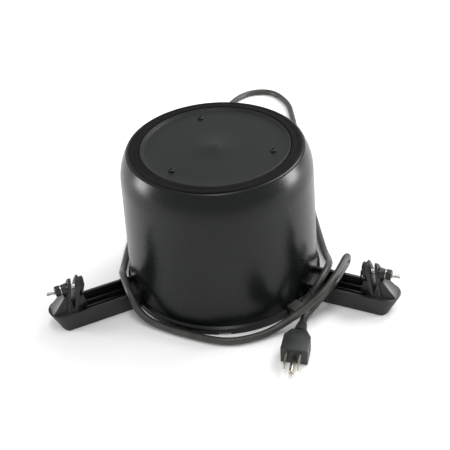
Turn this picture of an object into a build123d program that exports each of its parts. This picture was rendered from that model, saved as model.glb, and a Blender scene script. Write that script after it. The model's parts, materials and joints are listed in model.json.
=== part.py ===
from build123d import *
import math
import os

# ---------------------------------------------------------------------------
# Floating wave maker pump: a bell-shaped housing that stands on its rim, mouth
# down, with three channel arms whose forked ends clamp the floats' stays.
# Millimetres. Origin: where the housing's axis meets the plane of its rim. +Z up.
# ---------------------------------------------------------------------------

# housing shell
HOUSING_H = 150.6      # rim plane to the top lip
RIM_R = 99.5           # outside of the rim band
RIM_H = 6.5            # height of the rim band
RIM_STEP = 2.5         # the rim band stands out this far from the wall
BODY_TAPER = 4.4       # the wall draws in this far on its way up to the shoulder
SHOULDER_DROP = 27.6   # top lip down to the start of the shoulder
SHOULDER_RUN = 8.6     # start of the shoulder in to the edge of the flat top
WALL = 3.5
RIM_NOTCH_W = 12.0     # drain notches in the rim's lower edge
RIM_NOTCH_H = 2.2
DRAIN_AZIMUTHS = (30.0, 150.0, 270.0)

# top: ring groove, cover recess and motor deck
FOOT_RING_INSET = 2.0  # flat top's edge in to the ring groove
FOOT_RING_W = 9.8
FOOT_RING_H = 3.0
RING_GROOVE_DEPTH = 2.0
RECESS_DEPTH = 5.0     # lip to the ledge that carries the cover
DECK_T = 6.0
DECK_HOLE_R = 40.0
COVER_GAP = 0.4        # between the cover's edge and its recess
COVER_T = 2.4
COVER_BEAD_H = 4.6     # cover's raised edge above its underside
GASKET_T = 1.0
GASKET_W = 9.8
COVER_SCREW_INSET = 16.2  # groove's inner wall in to the cover screws
COVER_SCREW_AZIMUTHS = (105.0, 225.0, 345.0)
COVER_BOSS_R = 6.0

# motor
CAN_R = 46.0
CAN_WALL = 2.5
CAN_BOTTOM_Z = 63.0
CAN_FLANGE_W = 20.0    # top flange stands out this far from the can
CAN_FLANGE_T = 3.0
CAN_FOOT_W = 6.0
WEB_DROP = 15.6        # deck down to the web that carries the upper bearing
WEB_T = 5.0
DECK_SCREW_OUT = 14.0  # can's wall out to the deck screws
DECK_SCREW_AZIMUTHS = (45.0, 135.0, 270.0)
END_COVER_T = 6.0
END_GASKET_T = 1.0
END_SCREW_OUT = 3.0    # can's wall out to the end cover's screws
END_SCREW_COUNT = 4
BEARING_R = 13.0
BEARING_T = 5.0
SEAL_R = 10.0
SEAL_T = 5.0
SHAFT_R = 5.0
RUNNING_GAP = 0.05     # radial, shaft to bearings and seal, nuts to their threads
SHAFT_BOTTOM_Z = 20.5
SHAFT_TOP_OVER_WEB = 2.0
STATOR_LIFT = 12.0     # can's open end up to the stator
STATOR_TOP_ROOM = 8.0  # stator up to the web
STATOR_BORE_R = 25.0
STATOR_SLOTS = 12
SLOT_W = 5.0
SLOT_DEPTH = 11.0
COIL_OVERHANG = 7.0
AIR_GAP = 0.6
ROTOR_OVER_STATOR = 1.5

# propeller and guard
HUB_R = 12.0
HUB_BOTTOM_Z = 26.0
HUB_H = 20.0
PROP_R = 62.0
BLADE_COUNT = 3
BLADE_CHORD = 36.0
BLADE_T = 2.6
BLADE_PITCH_DEG = 28.0
PROP_NUT_AF = 13.0
PROP_NUT_H = 4.5
PROP_WASHER_T = 1.0
GUARD_Z = 14.0
GUARD_T = 4.0
GUARD_EDGE_GAP = 0.5
GUARD_RING_W = 2.4
GUARD_RING_RADII = (22.0, 34.0, 46.0, 58.0, 70.0)
GUARD_HUB_R = 11.0
GUARD_SPOKES = 6
GUARD_SPOKE_W = 3.0
GUARD_SPOKE_START = 30.0
GUARD_SCREW_INSET = 13.0
GUARD_BOSS_R = 6.0
GUARD_BOSS_H = 14.0
GUARD_AZIMUTHS = (30.0, 150.0, 270.0)

# float arms: two look forward, one looks straight back
ARM_NAMES = ("right", "rear", "left")
ARM_AZIMUTHS = (335.8, 90.0, 204.2)
ARM_W = 29.4
ARM_H = 18.0
ARM_WALL = 2.8
ARM_FLOOR = 3.0
ARM_REACH = 171.0      # housing axis to the centre of the arm's round end
ARM_ROOT_T = 8.0       # solid block behind the channel, where the screws bite
ARM_RIB_T = 1.8
ARM_RIB_H = 11.0
ARM_RIB_OFFSET = 4.2
ARM_BLOCK_L = 31.0     # solid end under the fork
FORK_FLOOR_Z = 19.5
FORK_GAP = 4.8
FORK_SETBACK = 6.6     # centre of the round end back to the middle of the fork's slot
LUG_T = 2.8
LUG_W = 20.0
LUG_TOP_Z = 50.0
CLAMP_BOLT_Z = 40.0
BUTTRESS_W = 15.0
ARM_SCREW_OFFSET = 8.0
ARM_SCREW_Z = 9.3
PEG_ARMS = ("right",)   # arms whose far wall carries the two upright pegs
PEG_R = 1.0
PEG_SETBACKS = (28.0, 20.0)  # centre of the round end back to the pegs
PEG_H = 8.5
PEG_DEPTH = 7.0

# clamp bolts (M5)
BOLT_R = 2.5
BOLT_REACH = 13.0      # centre of the round end out to the bolt's free end
BOLT_HEAD_AF = 8.0
BOLT_HEAD_H = 3.5
HEAD_BOSS_L = 4.8
NUT_AF = 9.0
NUT_H = 5.0
CLAMP_WASHER_R = 5.0
CLAMP_WASHER_T = 1.0

# small screws
M3_R = 1.5
M3_HEAD_R = 2.9
M3_HEAD_H = 2.0
M4_R = 2.0
M4_HEAD_R = 3.8
M4_HEAD_H = 2.4
SCREW_BITE = 6.0

# cord, its entry block and the lead inside
CORD_D = 7.2
ENTRY_AZIMUTH = 312.7
ENTRY_W = 13.0
ENTRY_STANDOFF = 8.9   # rim band out to the face of the entry block
ENTRY_H = 10.5
ENTRY_BORE_R = 5.0
ENTRY_Z = 5.6
STUB_INSET = 8.5       # rim's edge in to the inner end of the entry's stub
LEAD_RISE_INSET = 14.9 # rim's edge in to the rising lead
LEAD_OVER_WEB = 7.0
CLIP_START_Z = 50.0
CLIP_DROP = 47.0       # lead's top run down to the upper clip
CLIP_H = 8.0
CLIP_T = 1.8
BLOCK_SIZE = (12.0, 26.0, 12.0)
BLOCK_START_R = 14.0   # terminal block's inner side from the axis
CAPACITOR_R = 8.5
CAPACITOR_L = 36.0
CAPACITOR_OFFSET = 26.0

# plug: three-pin, two flat blades and a round earth pin
PLUG_BOOT_L = 17.0
PLUG_BOOT_R = 6.2
PLUG_L = 30.0
PLUG_W = 25.0
PLUG_H = 17.0
BLADE_L = 16.0
PLUG_BLADE_W = 6.3
PLUG_BLADE_T = 1.5
PLUG_BLADE_PITCH = 12.7
EARTH_PIN_R = 2.4
EARTH_PIN_L = 18.0
EARTH_PIN_DROP = 6.0

# places on the plan where the free cord bends, with its height there
CORD_POINTS = (
    (74.6, -71.3, 5.0),
    (83.4, -63.4, 9.0),
    (92.0, -61.0, 23.4),
    (105.5, -35.0, 25.6),
    (108.0, -13.0, 14.5),
    (106.5, 12.0, 3.6),
    (104.0, 40.0, 3.6),
    (99.5, 100.0, 3.6),
    (96.5, 180.0, 3.6),
    (96.0, 250.0, 3.6),
    (94.0, 305.0, 3.6),
    (91.5, 346.0, 3.6),
    (70.0, 383.5, 3.6),
    (33.0, 381.0, 3.6),
    (6.0, 343.0, 3.6),
    (-15.0, 275.0, 3.6),
    (-42.0, 215.0, 3.6),
    (-71.0, 160.0, 3.6),
    (-91.0, 110.0, 3.6),
    (-101.0, 64.0, 3.6),
    (-104.2, 24.0, 3.6),
    (-105.2, -7.5, 8.0),
    (-101.5, -28.5, 24.2),
    (-92.0, -60.0, 24.2),
    (-81.0, -76.5, 7.5),
    (-60.0, -89.0, 3.6),
    (-31.0, -103.0, 3.6),
    (2.0, -114.5, 3.6),
    (33.0, -108.0, 3.6),
    (52.0, -98.5, 6.0),
    (68.0, -91.0, 12.5),
    (84.0, -83.0, 20.0),
    (98.5, -74.0, 28.5),
    (109.0, -59.0, 31.2),
    (116.5, -43.6, 31.0),
    (124.5, -27.8, 32.6),
    (124.5, -26.4, 21.2),
    (116.0, -42.5, 21.9),
    (108.5, -58.5, 22.8),
    (98.0, -70.0, 21.0),
    (85.0, -74.5, 5.0),
    (77.0, -83.0, 3.7),
    (73.8, -95.8, 5.0),
)


# sizes that follow from the ones above
BODY_LOW_R = RIM_R - RIM_STEP
BODY_TOP_R = BODY_LOW_R - BODY_TAPER
SHOULDER_Z = HOUSING_H - SHOULDER_DROP
TOP_LIP_R = BODY_TOP_R - SHOULDER_RUN
FOOT_RING_OUT_R = TOP_LIP_R - FOOT_RING_INSET
FOOT_RING_IN_R = FOOT_RING_OUT_R - FOOT_RING_W
GASKET_IN_R = FOOT_RING_IN_R - COVER_GAP - GASKET_W
COVER_SCREW_R = FOOT_RING_IN_R - COVER_SCREW_INSET
LEDGE_Z = HOUSING_H - RECESS_DEPTH
DECK_UNDER_Z = LEDGE_Z - DECK_T
CAN_FLANGE_R = CAN_R + CAN_FLANGE_W
CAN_FOOT_R = CAN_R + CAN_FOOT_W
DECK_SCREW_R = CAN_R + DECK_SCREW_OUT
END_SCREW_R = CAN_R + END_SCREW_OUT
WEB_TOP_Z = DECK_UNDER_Z - WEB_DROP
STATOR_BOTTOM_Z = CAN_BOTTOM_Z + STATOR_LIFT
STATOR_H = WEB_TOP_Z - WEB_T - STATOR_TOP_ROOM - STATOR_BOTTOM_Z
GUARD_SCREW_R = BODY_LOW_R - GUARD_SCREW_INSET
FORK_CENTRE = ARM_REACH - FORK_SETBACK
PEG_RADII = tuple(ARM_REACH - setback for setback in PEG_SETBACKS)
BOLT_END = ARM_REACH + BOLT_REACH
ENTRY_R = RIM_R + ENTRY_STANDOFF
STUB_END_R = RIM_R - STUB_INSET
LEAD_RISE_R = RIM_R - LEAD_RISE_INSET
LEAD_TOP_Z = WEB_TOP_Z + LEAD_OVER_WEB
CLIP_Z = (CLIP_START_Z, LEAD_TOP_Z - CLIP_DROP)
INSIDE_WALL_R = BODY_TOP_R - 12.6  # well inside the wall, where cuts through it start
OUTSIDE_RIM_R = RIM_R + 10.5       # clear of the rim, where those cuts end


def arm_azimuth(name):
    return ARM_AZIMUTHS[ARM_NAMES.index(name)]


def shoulder_profile(inset, top_z, top_r):
    """Right-hand outline of the shell from the rim step to the top, moved in by inset."""
    low = (BODY_LOW_R - inset, RIM_H + 1.5)
    high = (BODY_TOP_R - inset, SHOULDER_Z)
    wall = Line(low, high)
    shoulder = TangentArc(high, (top_r, top_z), tangent=wall % 1)
    return wall, shoulder


def outer_solid():
    wall, shoulder = shoulder_profile(0, HOUSING_H, TOP_LIP_R)
    outline = [
        Line((0, 0), (RIM_R, 0)),
        Line((RIM_R, 0), (RIM_R, RIM_H)),
        Line((RIM_R, RIM_H), (BODY_LOW_R, RIM_H + 1.5)),
        wall,
        shoulder,
        Line((TOP_LIP_R, HOUSING_H), (0, HOUSING_H)),
        Line((0, HOUSING_H), (0, 0)),
    ]
    face = make_face(Plane.XZ * Wire(outline))
    solid = revolve(face, Axis.Z)
    top_edge = solid.edges().filter_by(GeomType.CIRCLE).sort_by(Axis.Z)[-1]
    return fillet(top_edge, 3.0)


def inner_solid():
    top_r = TOP_LIP_R - WALL - 1.5
    wall, shoulder = shoulder_profile(WALL, DECK_UNDER_Z, top_r)
    outline = [
        Line((0, 0), (BODY_LOW_R - WALL, 0)),
        Line((BODY_LOW_R - WALL, 0), (BODY_LOW_R - WALL, RIM_H + 1.5)),
        wall,
        shoulder,
        Line((top_r, DECK_UNDER_Z), (0, DECK_UNDER_Z)),
        Line((0, DECK_UNDER_Z), (0, 0)),
    ]
    return revolve(make_face(Plane.XZ * Wire(outline)), Axis.Z)


def disc(radius, z, height):
    return Pos(0, 0, z) * Cylinder(radius, height, align=(Align.CENTER, Align.CENTER, Align.MIN))


def ring(outer, inner, z, height):
    return disc(outer, z, height) - disc(inner, z - 1, height + 2)


def at(azimuth, radius, z):
    """Location on the plan at an azimuth, turned so that its X looks outward."""
    return Rot(0, 0, azimuth) * Pos(radius, 0, z)


def upright(location, radius, height):
    return location * Cylinder(radius, height, align=(Align.CENTER, Align.CENTER, Align.MIN))


def radial_rod(azimuth, start, end, radius, z, offset=0.0):
    """Cylinder lying along the outward direction, from start to end."""
    rod = Cylinder(radius, end - start, align=(Align.CENTER, Align.CENTER, Align.MIN))
    return Rot(0, 0, azimuth) * Pos(start, offset, z) * Rot(0, 90, 0) * rod


def hexagon(flats, z, height):
    return extrude(Pos(0, 0, z) * RegularPolygon(flats / 2, 6, major_radius=False), height)


def arm_screw_seat():
    """Distance from the axis to the inside of the wall at the arm screws."""
    fall = (BODY_LOW_R - BODY_TOP_R) / (SHOULDER_Z - RIM_H - 1.5)
    return BODY_LOW_R - WALL - fall * ARM_SCREW_Z - ARM_SCREW_OFFSET**2 / (2 * BODY_LOW_R) - 0.4


def make_housing():
    shell = outer_solid() - inner_solid()
    shell -= ring(FOOT_RING_OUT_R, FOOT_RING_IN_R, HOUSING_H - RING_GROOVE_DEPTH, RING_GROOVE_DEPTH + 1)
    shell -= disc(FOOT_RING_IN_R, LEDGE_Z, RECESS_DEPTH + 1)
    shell -= disc(DECK_HOLE_R, DECK_UNDER_Z - 1, DECK_T + 2)
    for azimuth in COVER_SCREW_AZIMUTHS:
        shell -= upright(at(azimuth, COVER_SCREW_R, LEDGE_Z - SCREW_BITE + 1), M3_R, SCREW_BITE)
    for azimuth in DECK_SCREW_AZIMUTHS:
        shell -= upright(at(azimuth, DECK_SCREW_R, DECK_UNDER_Z - 1), M4_R, SCREW_BITE - 1)
    for azimuth in GUARD_AZIMUTHS:
        boss = upright(at(azimuth, GUARD_SCREW_R, GUARD_Z + GUARD_T), GUARD_BOSS_R, GUARD_BOSS_H)
        web = at(azimuth, GUARD_SCREW_R + GUARD_BOSS_R, GUARD_Z + GUARD_T) * Box(
            2 * GUARD_BOSS_R, GUARD_BOSS_R, GUARD_BOSS_H, align=(Align.CENTER, Align.CENTER, Align.MIN)
        )
        shell += (boss + web) & outer_solid()
        shell -= upright(at(azimuth, GUARD_SCREW_R, GUARD_Z + GUARD_T - 1), M3_R, SCREW_BITE + 2)
    for azimuth in DRAIN_AZIMUTHS:
        shell -= at(azimuth, RIM_R, 0) * Box(24, RIM_NOTCH_W, 2 * RIM_NOTCH_H)
    for azimuth in ARM_AZIMUTHS:
        for offset in (-ARM_SCREW_OFFSET, ARM_SCREW_OFFSET):
            shell -= radial_rod(azimuth, INSIDE_WALL_R, OUTSIDE_RIM_R, M4_R, ARM_SCREW_Z, offset)
            shell -= radial_rod(
                azimuth, INSIDE_WALL_R, arm_screw_seat(), M4_HEAD_R + 0.6, ARM_SCREW_Z, offset
            )
    shell -= radial_rod(ENTRY_AZIMUTH, INSIDE_WALL_R, OUTSIDE_RIM_R, ENTRY_BORE_R, ENTRY_Z)
    return shell


def make_foot_ring():
    foot = ring(FOOT_RING_OUT_R, FOOT_RING_IN_R, HOUSING_H - RING_GROOVE_DEPTH, FOOT_RING_H)
    return fillet(foot.edges().group_by(Axis.Z)[-1], 0.8)


def cover_base_z():
    return LEDGE_Z + GASKET_T


def make_top_cover():
    edge_r = FOOT_RING_IN_R - COVER_GAP
    z = cover_base_z()
    outline = [
        (0, z),
        (edge_r, z),
        (edge_r, z + COVER_BEAD_H - 1.2),
        (edge_r - 1.0, z + COVER_BEAD_H),
        (edge_r - 1.8, z + COVER_BEAD_H),
        (edge_r - 2.3, z + COVER_BEAD_H - 1.1),
        (edge_r - 3.1, z + COVER_BEAD_H - 1.1),
        (edge_r - 3.8, z + COVER_T),
        (0, z + COVER_T),
    ]
    cover = revolve(make_face(Plane.XZ * Polyline(*outline, close=True)), Axis.Z)
    for azimuth in COVER_SCREW_AZIMUTHS:
        cover -= upright(at(azimuth, COVER_SCREW_R, z - 1), M3_R, COVER_T + 2)
    return cover


def make_cover_gasket():
    return ring(FOOT_RING_IN_R - COVER_GAP, GASKET_IN_R, LEDGE_Z, GASKET_T)


def pan_screw(location, shank_r, head_r, head_h, length):
    """Pan-head screw whose head rests at z = 0 of the location and whose shank points down."""
    head = Cylinder(head_r, head_h, align=(Align.CENTER, Align.CENTER, Align.MIN))
    head = fillet(head.edges().group_by(Axis.Z)[-1], head_h * 0.45)
    shank = Pos(0, 0, -length) * Cylinder(shank_r, length, align=(Align.CENTER, Align.CENTER, Align.MIN))
    recess = Pos(0, 0, head_h) * (Box(head_r, 0.7, 1.6) + Box(0.7, head_r, 1.6))
    return location * (head + shank - recess)


def make_cover_screws():
    top = cover_base_z() + COVER_T
    length = COVER_T + GASKET_T + SCREW_BITE - 2
    return Compound(children=[
        pan_screw(at(azimuth, COVER_SCREW_R, top), M3_R, M3_HEAD_R, M3_HEAD_H, length)
        for azimuth in COVER_SCREW_AZIMUTHS
    ])


def make_motor_can():
    top = DECK_UNDER_Z
    can = ring(CAN_R, CAN_R - CAN_WALL, CAN_BOTTOM_Z, top - CAN_BOTTOM_Z)
    can += ring(CAN_FLANGE_R, CAN_R - 1, top - CAN_FLANGE_T, CAN_FLANGE_T)
    can += ring(CAN_FOOT_R, CAN_R - 1, CAN_BOTTOM_Z, CAN_FLANGE_T)
    web = disc(CAN_R - 1, WEB_TOP_Z - WEB_T, WEB_T) - disc(BEARING_R, WEB_TOP_Z - WEB_T - 1, WEB_T + 2)
    can += web
    for azimuth in DECK_SCREW_AZIMUTHS:
        can -= upright(at(azimuth, DECK_SCREW_R, top - CAN_FLANGE_T - 1), M4_R, CAN_FLANGE_T + 2)
    for i in range(END_SCREW_COUNT):
        spot = at(45 + i * 360 / END_SCREW_COUNT, END_SCREW_R, CAN_BOTTOM_Z - 1)
        can -= upright(spot, M3_R, CAN_FLANGE_T + 2)
    return can - radial_rod(ENTRY_AZIMUTH, CAN_R - 8, CAN_R + 3, CORD_D / 2, LEAD_TOP_Z)


def screws_from_below(azimuths, radius, seat_z, shank_r, head_r, head_h, length):
    return Compound(children=[
        pan_screw(at(azimuth, radius, seat_z) * Rot(180, 0, 0), shank_r, head_r, head_h, length)
        for azimuth in azimuths
    ])


def make_motor_screws():
    seat = DECK_UNDER_Z - CAN_FLANGE_T
    return screws_from_below(
        DECK_SCREW_AZIMUTHS, DECK_SCREW_R, seat, M4_R, M4_HEAD_R, M4_HEAD_H, CAN_FLANGE_T + SCREW_BITE - 3
    )


def end_cover_top():
    return CAN_BOTTOM_Z - END_GASKET_T


def make_end_cover():
    top = end_cover_top()
    cover = disc(CAN_FOOT_R, top - END_COVER_T, END_COVER_T)
    hub_h = BEARING_T + SEAL_T - END_COVER_T + 2
    cover += disc(BEARING_R + 3, top - END_COVER_T - hub_h, hub_h)
    cover -= disc(BEARING_R, top - BEARING_T, BEARING_T + 1)
    cover -= disc(SEAL_R, top - BEARING_T - SEAL_T, SEAL_T + 1)
    cover -= disc(SHAFT_R + 1.5, top - 3 * END_COVER_T, 3 * END_COVER_T)
    for i in range(END_SCREW_COUNT):
        spot = at(45 + i * 360 / END_SCREW_COUNT, END_SCREW_R, top - END_COVER_T - 1)
        cover -= upright(spot, M3_R, END_COVER_T + 2)
    return cover


def make_end_gasket():
    gasket = ring(CAN_FOOT_R, CAN_R - CAN_WALL, end_cover_top(), END_GASKET_T)
    for i in range(END_SCREW_COUNT):
        spot = at(45 + i * 360 / END_SCREW_COUNT, END_SCREW_R, end_cover_top() - 1)
        gasket -= upright(spot, M3_R, END_GASKET_T + 2)
    return gasket


def make_end_screws():
    azimuths = [45 + i * 360 / END_SCREW_COUNT for i in range(END_SCREW_COUNT)]
    length = END_COVER_T + END_GASKET_T + CAN_FLANGE_T
    return screws_from_below(
        azimuths, END_SCREW_R, end_cover_top() - END_COVER_T, M3_R, M3_HEAD_R, M3_HEAD_H, length
    )


def bearing(z):
    return ring(BEARING_R, SHAFT_R + RUNNING_GAP, z, BEARING_T)


def make_shaft_seal():
    return ring(SEAL_R, SHAFT_R + RUNNING_GAP, end_cover_top() - BEARING_T - SEAL_T, SEAL_T)


def stator_slots(depth, width):
    """Bars that fill the slots round the stator's bore."""
    bars = []
    for i in range(STATOR_SLOTS):
        bars.append(
            at(i * 360 / STATOR_SLOTS, STATOR_BORE_R + 1.5, STATOR_BOTTOM_Z)
            * Box(depth, width, STATOR_H, align=(Align.MIN, Align.CENTER, Align.MIN))
        )
    return bars


def make_stator_core():
    core = ring(CAN_R - CAN_WALL, STATOR_BORE_R, STATOR_BOTTOM_Z, STATOR_H)
    for bar in stator_slots(SLOT_DEPTH, SLOT_W):
        core -= bar
    return core


def make_stator_windings():
    inner = STATOR_BORE_R + 1.5
    outer = inner + SLOT_DEPTH
    coil = ring(outer, inner, STATOR_BOTTOM_Z - COIL_OVERHANG, COIL_OVERHANG)
    coil += ring(outer, inner, STATOR_BOTTOM_Z + STATOR_H, COIL_OVERHANG)
    band = ring(outer, inner, STATOR_BOTTOM_Z, STATOR_H)
    for bar in stator_slots(SLOT_DEPTH, SLOT_W):
        coil += bar & band
    return coil


def make_rotor():
    low = STATOR_BOTTOM_Z - ROTOR_OVER_STATOR
    return ring(STATOR_BORE_R - AIR_GAP, SHAFT_R, low, STATOR_H + 2 * ROTOR_OVER_STATOR)


def make_shaft():
    top = WEB_TOP_Z + SHAFT_TOP_OVER_WEB
    shaft = disc(SHAFT_R, SHAFT_BOTTOM_Z, top - SHAFT_BOTTOM_Z)
    return chamfer(shaft.edges().filter_by(GeomType.CIRCLE), 0.6)


def make_propeller():
    hub = disc(HUB_R, HUB_BOTTOM_Z, HUB_H)
    hub = fillet(hub.edges().group_by(Axis.Z)[-1], 2.0)
    middle = HUB_BOTTOM_Z + HUB_H / 2
    envelope = disc(PROP_R, HUB_BOTTOM_Z, HUB_H)
    propeller = hub
    for i in range(BLADE_COUNT):
        length = PROP_R - HUB_R / 2
        plate = Box(length, BLADE_CHORD, BLADE_T, align=(Align.MIN, Align.CENTER, Align.CENTER))
        plate = fillet(plate.edges().filter_by(Axis.Z).sort_by(Axis.X)[-2:], BLADE_CHORD * 0.35)
        pitched = Pos(HUB_R / 2, 0, middle) * Rot(BLADE_PITCH_DEG, 0, 0) * plate
        blade = Rot(0, 0, i * 360 / BLADE_COUNT) * pitched
        propeller += blade & envelope
    return propeller - disc(SHAFT_R, HUB_BOTTOM_Z - 1, HUB_H + 2)


def make_propeller_washer():
    return ring(HUB_R - 2, SHAFT_R, HUB_BOTTOM_Z - PROP_WASHER_T, PROP_WASHER_T)


def make_propeller_nut():
    top = HUB_BOTTOM_Z - PROP_WASHER_T
    nut = hexagon(PROP_NUT_AF + 3, top - PROP_NUT_H, PROP_NUT_H)
    return nut - disc(SHAFT_R, top - PROP_NUT_H - 1, PROP_NUT_H + 2)


def guard_edge_r():
    fall = (BODY_LOW_R - BODY_TOP_R) / (SHOULDER_Z - RIM_H - 1.5)
    return BODY_LOW_R - WALL - fall * (GUARD_Z + GUARD_T - RIM_H) - GUARD_EDGE_GAP


def make_inlet_guard():
    edge = guard_edge_r()
    guard = ring(edge, edge - GUARD_RING_W, GUARD_Z, GUARD_T) + disc(GUARD_HUB_R, GUARD_Z, GUARD_T)
    for radius in GUARD_RING_RADII:
        guard += ring(radius + GUARD_RING_W / 2, radius - GUARD_RING_W / 2, GUARD_Z, GUARD_T)
    for i in range(GUARD_SPOKES):
        azimuth = GUARD_SPOKE_START + i * 360 / GUARD_SPOKES
        guard += at(azimuth, GUARD_HUB_R - 1, GUARD_Z) * Box(
            edge - GUARD_HUB_R, GUARD_SPOKE_W, GUARD_T, align=(Align.MIN, Align.CENTER, Align.MIN)
        )
    for azimuth in GUARD_AZIMUTHS:
        guard += upright(at(azimuth, GUARD_SCREW_R, GUARD_Z), GUARD_BOSS_R, GUARD_T)
    for azimuth in GUARD_AZIMUTHS:
        guard -= upright(at(azimuth, GUARD_SCREW_R, GUARD_Z - 1), M3_R, GUARD_T + 2)
    return guard


def make_guard_screws():
    return screws_from_below(
        GUARD_AZIMUTHS, GUARD_SCREW_R, GUARD_Z, M3_R, M3_HEAD_R, M3_HEAD_H, GUARD_T + SCREW_BITE
    )


def inner_lug_face():
    return FORK_CENTRE - FORK_GAP / 2 - LUG_T


def outer_lug_face():
    return FORK_CENTRE + FORK_GAP / 2 + LUG_T


def head_boss_face():
    return inner_lug_face() - HEAD_BOSS_L


def lug(start):
    """Upright plate with a round top, its thickness along X."""
    side = Rectangle(LUG_W, CLAMP_BOLT_Z, align=(Align.CENTER, Align.MIN))
    top = Pos(0, CLAMP_BOLT_Z) * Circle(LUG_TOP_Z - CLAMP_BOLT_Z)
    outline = side + top
    low = Pos(0, ARM_FLOOR) * Rectangle(LUG_W + 10, LUG_TOP_Z, align=(Align.CENTER, Align.MIN))
    return Pos(start, 0, 0) * extrude(Plane.YZ * (outline & low), LUG_T)


def wedge(points, width):
    """Prism across the arm from an outline in its length and height."""
    return extrude(Plane.XZ * make_face(Polyline(*points, close=True)), width / 2, both=True)


def make_arm(azimuth, has_pegs):
    block_start = ARM_REACH + ARM_W / 2 - ARM_BLOCK_L
    foot_l = ARM_REACH - BODY_TOP_R + 8
    foot = Pos(BODY_TOP_R - 8, 0) * Rectangle(foot_l, ARM_W, align=(Align.MIN, Align.CENTER))
    plan = foot + Pos(ARM_REACH, 0) * Circle(ARM_W / 2)
    arm = extrude(plan, ARM_H)
    channel_start = RIM_R + ARM_ROOT_T
    channel = Pos(channel_start, 0, ARM_FLOOR) * Box(
        block_start - channel_start, ARM_W - 2 * ARM_WALL, ARM_H, align=(Align.MIN, Align.CENTER, Align.MIN)
    )
    arm -= channel
    for offset in (-ARM_RIB_OFFSET, ARM_RIB_OFFSET):
        arm += Pos(channel_start, offset, ARM_FLOOR) * Box(
            block_start - channel_start, ARM_RIB_T, ARM_RIB_H, align=(Align.MIN, Align.CENTER, Align.MIN)
        )
    under_fork = extrude(plan, FORK_FLOOR_Z) & Pos(inner_lug_face(), 0, 0) * Box(
        outer_lug_face() - inner_lug_face(), LUG_W, FORK_FLOOR_Z, align=(Align.MIN, Align.CENTER, Align.MIN)
    )
    arm += under_fork
    arm += lug(inner_lug_face()) + lug(outer_lug_face() - LUG_T)
    buttress_top = CLAMP_BOLT_Z - CLAMP_WASHER_R - 1
    tip = ARM_REACH + ARM_W / 2 - 3
    buttress = wedge(
        [
            (outer_lug_face() - 1, ARM_H - 1),
            (outer_lug_face() - 1, buttress_top),
            (outer_lug_face() + 3, buttress_top),
            (tip, ARM_H + 1),
            (tip, ARM_H - 1),
        ],
        BUTTRESS_W,
    )
    arm += buttress & extrude(plan, LUG_TOP_Z)
    boss_low = CLAMP_BOLT_Z - BOLT_HEAD_AF
    gusset = wedge(
        [
            (inner_lug_face() + 1, ARM_H - 1),
            (inner_lug_face() + 1, boss_low),
            (head_boss_face(), boss_low),
            (head_boss_face() - 6, ARM_H + 1),
            (head_boss_face() - 6, ARM_H - 1),
        ],
        BUTTRESS_W,
    )
    arm += gusset
    arm += radial_rod(0, head_boss_face(), inner_lug_face() + 1, BUTTRESS_W / 2, CLAMP_BOLT_Z)
    arm -= outer_solid()
    arm -= radial_rod(0, head_boss_face() - 1, BOLT_END, BOLT_R, CLAMP_BOLT_Z)
    for offset in (-ARM_SCREW_OFFSET, ARM_SCREW_OFFSET):
        arm -= radial_rod(0, INSIDE_WALL_R, RIM_R + ARM_ROOT_T - 2, M4_R, ARM_SCREW_Z, offset)
    for radius in PEG_RADII if has_pegs else ():
        arm -= upright(Pos(radius, (ARM_W - ARM_WALL) / 2, ARM_H - PEG_DEPTH), PEG_R, PEG_DEPTH + 1)
    return Rot(0, 0, azimuth) * arm


def make_arm_screws(azimuth):
    length = RIM_R + ARM_ROOT_T - 3 - arm_screw_seat()
    screws = []
    for offset in (-ARM_SCREW_OFFSET, ARM_SCREW_OFFSET):
        spot = Rot(0, 0, azimuth) * Pos(arm_screw_seat(), offset, ARM_SCREW_Z) * Rot(0, -90, 0)
        screws.append(pan_screw(spot, M4_R, M4_HEAD_R, M4_HEAD_H, length))
    return Compound(children=screws)


def make_arm_pegs(azimuth):
    pegs = []
    for radius in PEG_RADII:
        spot = Rot(0, 0, azimuth) * Pos(radius, (ARM_W - ARM_WALL) / 2, ARM_H - PEG_DEPTH)
        pegs.append(upright(spot, PEG_R, PEG_DEPTH + PEG_H))
    return Compound(children=pegs)


def along_arm(azimuth, start):
    """Location on the clamp bolt's axis whose Z looks outward."""
    return Rot(0, 0, azimuth) * Pos(start, 0, CLAMP_BOLT_Z) * Rot(0, 90, 0)


def make_clamp_bolt(azimuth):
    head = hexagon(BOLT_HEAD_AF, 0, BOLT_HEAD_H)
    shank = disc(BOLT_R, 0, BOLT_END - head_boss_face() + BOLT_HEAD_H)
    shank = chamfer(shank.edges().group_by(Axis.Z)[-1], 0.6)
    return along_arm(azimuth, head_boss_face() - BOLT_HEAD_H) * (head + shank)


def make_clamp_washer(azimuth):
    washer = ring(CLAMP_WASHER_R, BOLT_R + RUNNING_GAP, 0, CLAMP_WASHER_T)
    return along_arm(azimuth, outer_lug_face()) * washer


def make_clamp_nut(azimuth):
    nut = hexagon(NUT_AF, 0, NUT_H) - disc(BOLT_R + RUNNING_GAP, -1, NUT_H + 2)
    return along_arm(azimuth, outer_lug_face() + CLAMP_WASHER_T) * nut


def make_cord_entry():
    """Block outside the wall that the cord enters sideways, with a stub through the wall."""
    block = at(ENTRY_AZIMUTH, INSIDE_WALL_R, 0.6) * Box(
        ENTRY_R - INSIDE_WALL_R, ENTRY_W, ENTRY_H, align=(Align.MIN, Align.CENTER, Align.MIN)
    )
    block = fillet(block.edges().filter_by(Axis.Z), 1.5)
    block -= outer_solid()
    stub = radial_rod(ENTRY_AZIMUTH, STUB_END_R, RIM_R + 1, ENTRY_BORE_R, ENTRY_Z)
    return block + stub


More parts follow.
